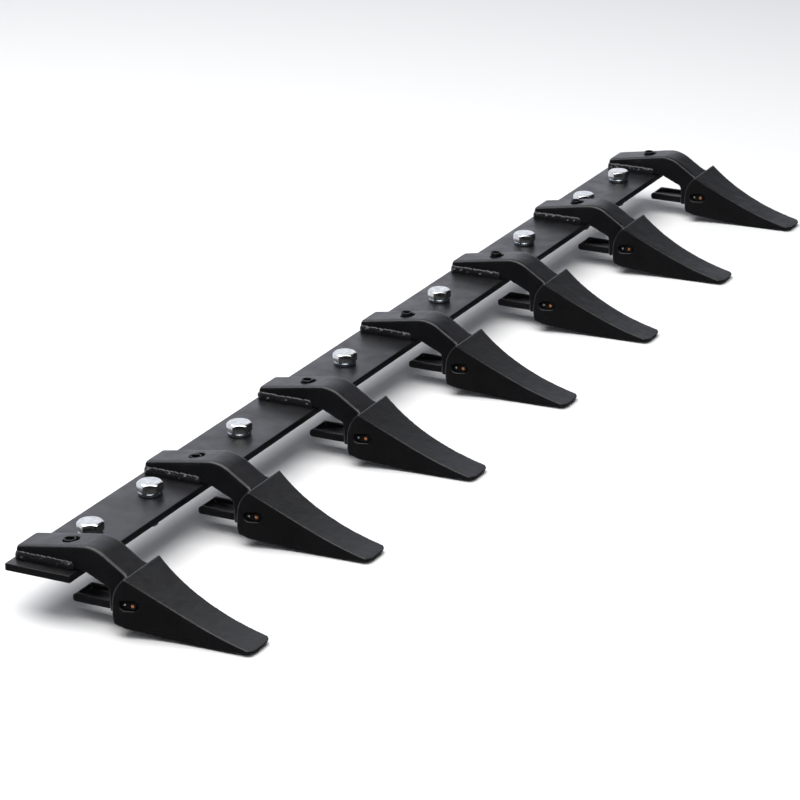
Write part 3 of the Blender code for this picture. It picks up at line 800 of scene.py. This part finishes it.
# ---- parts that follow a path, made by geometry nodes ----
def node_tree(name, inputs):
    """An empty node tree with one mesh in, one mesh out and the named inputs."""
    tree = bpy.data.node_groups.new(name, "GeometryNodeTree")
    tree.interface.new_socket("Geometry", in_out="INPUT", socket_type="NodeSocketGeometry")
    for label, kind, value in inputs:
        socket = tree.interface.new_socket(label, in_out="INPUT", socket_type=kind)
        socket.default_value = value
    tree.interface.new_socket("Geometry", in_out="OUTPUT", socket_type="NodeSocketGeometry")
    return tree


def close_tree(tree, geometry, finish):
    """End a tree as real mesh with its finish set."""
    real = add(tree, "GeometryNodeRealizeInstances", {"Geometry": geometry})
    painted_mesh = add(tree, "GeometryNodeSetMaterial", {"Geometry": real.outputs[0], "Material": finish})
    add(tree, "NodeGroupOutput", {"Geometry": painted_mesh.outputs[0]})


def grow(path, tree, **values):
    """Run a tree on a path of points and give back a plain mesh.

    Each value goes to the input of the same name, written small and with underscores.
    """
    mesh = bpy.data.meshes.new("path")
    mesh.from_pydata(path, [(k, k + 1) for k in range(len(path) - 1)], [])
    holder = scratch_object(mesh)
    modifier = holder.modifiers.new(tree.name, "NODES")
    modifier.node_group = tree
    for item in tree.interface.items_tree:
        label = item.name.lower().replace(" ", "_")
        if item.item_type == "SOCKET" and item.in_out == "INPUT" and label in values:
            modifier[item.identifier] = values[label]
    made = evaluated_mesh(holder)
    bpy.data.objects.remove(holder)
    return made


def split_ring_tree(finish):
    """A bar of rectangular section bent into a ring, with a gap between its ends."""
    tree = node_tree("split_ring", [
        ("Bore", "NodeSocketFloat", 9.4), ("Outside", "NodeSocketFloat", 13.2),
        ("Height", "NodeSocketFloat", 4.0), ("Opening", "NodeSocketFloat", 0.03),
        ("Edge", "NodeSocketFloat", 0.3), ("Step", "NodeSocketFloat", 0.0)])
    given = add(tree, "NodeGroupInput").outputs
    total = add(tree, "ShaderNodeMath", {0: given["Bore"], 1: given["Outside"]}, operation="ADD")
    radius = add(tree, "ShaderNodeMath", {0: total.outputs[0], 1: 0.25}, operation="MULTIPLY").outputs[0]
    wall = add(tree, "ShaderNodeMath", {0: given["Outside"], 1: given["Bore"]}, operation="SUBTRACT")
    wall = add(tree, "ShaderNodeMath", {0: wall.outputs[0], 1: 0.5}, operation="MULTIPLY").outputs[0]
    turns = add(tree, "ShaderNodeMath", {0: 1.0, 1: given["Opening"]}, operation="SUBTRACT").outputs[0]
    path = add(tree, "GeometryNodeCurveSpiral", {"Resolution": 72, "Rotations": turns, "Start Radius": radius,
                                                 "End Radius": radius, "Height": given["Step"]})
    level = add(tree, "GeometryNodeSetCurveNormal", {"Curve": path.outputs[0]}, mode="Z_UP")
    strip = add(tree, "GeometryNodeCurvePrimitiveQuadrilateral", {"Width": wall, "Height": given["Height"]})
    eased = add(tree, "GeometryNodeFilletCurve", {"Curve": strip.outputs[0], "Count": 3,
                                                  "Radius": given["Edge"]}, mode="POLY")
    bent = add(tree, "GeometryNodeCurveToMesh", {"Curve": level.outputs[0], "Profile Curve": eased.outputs[0],
                                                 "Fill Caps": True})
    close_tree(tree, bent.outputs[0], finish)
    return tree


def weld_tree(finish):
    """Overlapping puddles of weld metal along a path, each a little different."""
    tree = node_tree("weld_bead", [
        ("Spacing", "NodeSocketFloat", 3.0), ("Puddle", "NodeSocketVector", (4.0, 3.0, 5.0)),
        ("Least", "NodeSocketFloat", 0.8), ("Most", "NodeSocketFloat", 1.2),
        ("Wander", "NodeSocketFloat", 0.4), ("Seed", "NodeSocketInt", 0)])
    given = add(tree, "NodeGroupInput").outputs

    def even(value):
        """A vector with the same value on all three axes."""
        return add(tree, "ShaderNodeCombineXYZ", {0: value, 1: value, 2: value}).outputs[0]

    path = add(tree, "GeometryNodeMeshToCurve", {"Mesh": given["Geometry"]})
    stops = add(tree, "GeometryNodeCurveToPoints", {"Curve": path.outputs[0], "Length": given["Spacing"]},
                mode="LENGTH")
    aside = add(tree, "ShaderNodeMath", {0: given["Wander"], 1: -1.0}, operation="MULTIPLY").outputs[0]
    range_of_drift = {"Min": even(aside), "Max": even(given["Wander"]), "Seed": given["Seed"]}
    drift = add(tree, "FunctionNodeRandomValue", range_of_drift, data_type="FLOAT_VECTOR")
    moved = add(tree, "GeometryNodeSetPosition", {"Geometry": stops.outputs["Points"],
                                                  "Offset": drift.outputs["Value"]})
    along = add(tree, "FunctionNodeAlignRotationToVector", {"Vector": stops.outputs["Tangent"]}, axis="X",
                pivot_axis="Z")
    range_of_sizes = {"Min": even(given["Least"]), "Max": even(given["Most"]), "Seed": given["Seed"]}
    vary = add(tree, "FunctionNodeRandomValue", range_of_sizes, data_type="FLOAT_VECTOR")
    size = add(tree, "ShaderNodeVectorMath", {0: vary.outputs["Value"], 1: given["Puddle"]},
               operation="MULTIPLY")
    puddle = add(tree, "GeometryNodeMeshIcoSphere", {"Radius": 1.0, "Subdivisions": 3})
    laid = add(tree, "GeometryNodeInstanceOnPoints", {
        "Points": moved.outputs[0], "Instance": puddle.outputs["Mesh"], "Rotation": along.outputs[0],
        "Scale": size.outputs[0]})
    close_tree(tree, laid.outputs[0], finish)
    return tree


def weld_path(outset, height):
    """Along one side of the strap, round its rear end and back along the other side."""
    x, z, bend = STRAP_HALF + outset, TOP + height, WELD_REAR - WELD_TURN
    points = [(x, WELD_FRONT, z), (x, bend, z)]
    points += [(x - WELD_TURN + WELD_TURN * math.cos(a), bend + WELD_TURN * math.sin(a), z)
               for a in (math.radians(30), math.radians(60), math.radians(90))]
    return points + [(-px, py, pz) for px, py, pz in reversed(points)]


def make_weld(tree, seed):
    """A sloping fillet of fine puddles, with lumps where the welder paused."""
    fillet = grow(weld_path(*FILLET_PLACE), tree, **FILLET_PUDDLES, seed=seed)
    lumps = grow(weld_path(*LUMPS_PLACE), tree, **LUMPS_PUDDLES, seed=seed + LUMPS_SEED)
    bm = bmesh.new()
    bm.from_mesh(fillet)
    bm.from_mesh(lumps)
    return fuse(from_bmesh(bm), WELD_VOXEL, WELD_ROUNDS)


# ---- flex pins ----
FLEX_HALF = tooth_half(FLEX_AHEAD) - FLEX_RECESS


def make_rubber():
    block = loft(ends_dressed(FLEX_HALF, FLEX_END, flex_outline(-FLEX_END), flex_outline(0.0)))
    holes = []
    for side, radius in ((-1, FLEX_FRONT_ROD + ROD_PLAY), (1, FLEX_REAR_ROD + ROD_PLAY)):
        hole = turned(ROD_COLUMNS, lambda _angle, r=radius: [(r, ROD_CUT), (r, -ROD_CUT)])
        hole.transform(Matrix.Translation((0, FLEX_Y + side * FLEX_ROD_SPACING / 2, FLEX_Z))
                       @ Matrix.Rotation(math.pi / 2, 4, "Y"))
        holes.append(scratch_object(hole))
    return combine(block, holes, "DIFFERENCE").data


# ---- every piece, on its body ----
place("bar_flat", make_bar(), BAR_PAINT, "frame", ["bar"])

shank, tooth = make_shank(), make_tooth()
rubber = make_rubber()
rear_rod, front_rod = (make_rod(radius, FLEX_HALF + ROD_PROUD) for radius in (FLEX_REAR_ROD, FLEX_FRONT_ROD))
weld_nodes, ring_nodes = weld_tree(WELD_PAINT), split_ring_tree(BLACK_STEEL)
for k, x in enumerate(TOOTH_XS):
    number = k + 1
    apart = Vector((0.0, 0.0, SKIN_SPACING * number))
    cast_shank, cast_tooth = shank.copy(), tooth.copy()
    roughen(cast_shank, *SHANK_SKIN, apart)
    roughen(cast_tooth, *TOOTH_SKIN, -apart)
    place(f"shank_casting_{number}", cast_shank, FORGED_PAINT, "frame",
          [f"shank_{number}"], (x, 0, 0), CAST_CREASE)
    place(f"tooth_casting_{number}", cast_tooth, CAST_PAINT, "frame",
          [f"tooth_{number}"], (x, 0, 0), CAST_CREASE)
    place(f"weld_bead_{number}", make_weld(weld_nodes, number), WELD_PAINT, "frame",
          [f"weld_{number}"], (x, 0, 0), CAST_CREASE)

    body = f"flex_pin_{number}"
    place(f"flex_pin_rubber_{number}", rubber, RUBBER, body, [body], (x, 0, 0))
    for side, end, rod, finish in ((1, "rear", rear_rod, BRIGHT_STEEL),
                                   (-1, "front", front_rod, COPPERED_STEEL)):
        place(f"flex_pin_{end}_rod_{number}", rod, finish, body,
              at=(x, FLEX_Y + side * FLEX_ROD_SPACING / 2, FLEX_Z))

    low, high = node_box(f"locating_pin_{number}")
    tube = grow([(0, 0, 0), (0, 0, 1)], ring_nodes, outside=high.x - low.x, height=high.z - low.z,
                **ROLLED_PIN)
    tube.transform(Matrix.Rotation(math.radians(ROLLED_PIN_TURN), 4, "Z"))
    place(f"rolled_pin_{number}", tube, BLACK_STEEL, "frame",
          [f"locating_pin_{number}"], (low + high) / 2)

bolt, nut = make_bolt(), make_nut()
spring_nodes = split_ring_tree(ZINC_SPRING)
for k, x in enumerate(BOLT_XS):
    number = k + 1
    place(f"hex_bolt_{number}", bolt, ZINC, f"bolt_{number}", [f"bolt_{number}"], (x, 0, 0))
    place(f"hex_nut_{number}", nut, ZINC, "frame", [f"nut_{number}"], (x, 0, 0))
    low, high = node_box(f"lock_washer_{number}")
    coil = grow([(0, 0, 0), (0, 0, 1)], spring_nodes, outside=high.x - low.x,
                height=high.z - low.z - WASHER_THINNING, **SPLIT_WASHER)
    place(f"split_washer_{number}", coil, ZINC_SPRING, f"lock_washer_{number}",
          [f"lock_washer_{number}"], (low + high) / 2 - Vector((0, 0, WASHER_SINK)))

for spent in list(SCRATCH.objects):
    bpy.data.objects.remove(spent)
bpy.data.collections.remove(SCRATCH)

# ---- studio ----
FLOOR_REACH, FLOOR_GAP = 30.0, 0.0005          # metres, as all of the studio's sizes
WHITE_WALL = (0.55, 0.83, 0.0)                 # the way to the studio's one white wall
CAMERA_AT = (-3.3362, -1.6660, 1.3161)
YAW, PITCH, ROLL = (math.radians(a) for a in (-63.58, 20.53, -0.21))
FOCAL_LENGTH, SENSOR_WIDTH = 148.2, 36.0       # millimetres
SCENE = bpy.context.scene
SCENE.view_settings.view_transform = "Standard"


def make_floor():
    """A plain white paper floor under the lowest point of the object."""
    bm = bmesh.new()
    bmesh.ops.create_grid(bm, x_segments=1, y_segments=1, size=FLOOR_REACH,
                          matrix=Matrix.Translation((0, 0, CAD_LOW.z - FLOOR_GAP)))
    mesh = bpy.data.meshes.new("paper_floor")
    bm.to_mesh(mesh)
    bm.free()
    floor = bpy.data.objects.new("paper_floor", mesh)
    SCENE.collection.objects.link(floor)
    paper, _tree, _shader = new_material("white_paper", Base_Color=srgb("#f6f6f6"), Roughness=0.9)
    mesh.materials.append(paper)
    floor.visible_glossy = False       # gloss mirrors the studio's walls instead


def softbox(name, place_m, aim_m, width, height, power):
    light = bpy.data.lights.new(name, "AREA")
    light.shape = "RECTANGLE"
    light.size, light.size_y = width, height
    light.energy = power
    made = bpy.data.objects.new(name, light)
    made.location = place_m
    made.rotation_mode = "QUATERNION"
    made.rotation_quaternion = (Vector(aim_m) - Vector(place_m)).to_track_quat("-Z", "Y")
    SCENE.collection.objects.link(made)


make_floor()
softbox("top_softbox", place_m=(-0.8, 0.5, 3.4), aim_m=(-0.8, 0.5, 0), width=3.6, height=4.6, power=205.0)
softbox("front_softbox", place_m=(-3.0, -1.5, 3.0), aim_m=(0, 0, 0), width=3.0, height=2.0, power=30.0)

# the studio's walls: a white one stands behind the object's far end, the others are dark
world = bpy.data.worlds.new("studio_walls")
SCENE.world = world
world.use_nodes = True
walls = world.node_tree
direction = add(walls, "ShaderNodeTexCoord").outputs["Generated"]
behind = add(walls, "ShaderNodeVectorMath", {0: direction, 1: WHITE_WALL}, operation="DOT_PRODUCT")
glow = spread(walls, behind.outputs["Value"], low=0.04, high=1.05, start=0.35, end=0.75)
walls.links.new(glow, walls.nodes["Background"].inputs["Strength"])
walls.nodes["Background"].inputs["Color"].default_value = srgb("#f1f4ff")

forward = Vector((-math.sin(YAW) * math.cos(PITCH), math.cos(YAW) * math.cos(PITCH), -math.sin(PITCH)))
across = forward.cross(Vector((0, 0, 1))).normalized()
upward = across.cross(forward)
right = across * math.cos(ROLL) + upward * math.sin(ROLL)
up = upward * math.cos(ROLL) - across * math.sin(ROLL)
lens = bpy.data.cameras.new("camera")
lens.lens, lens.sensor_width = FOCAL_LENGTH, SENSOR_WIDTH
lens.clip_end = 100.0
camera = bpy.data.objects.new("camera", lens)
turned_to = Matrix((right, up, -forward)).transposed().to_4x4()
camera.matrix_world = Matrix.Translation(CAMERA_AT) @ turned_to
SCENE.collection.objects.link(camera)
SCENE.camera = camera
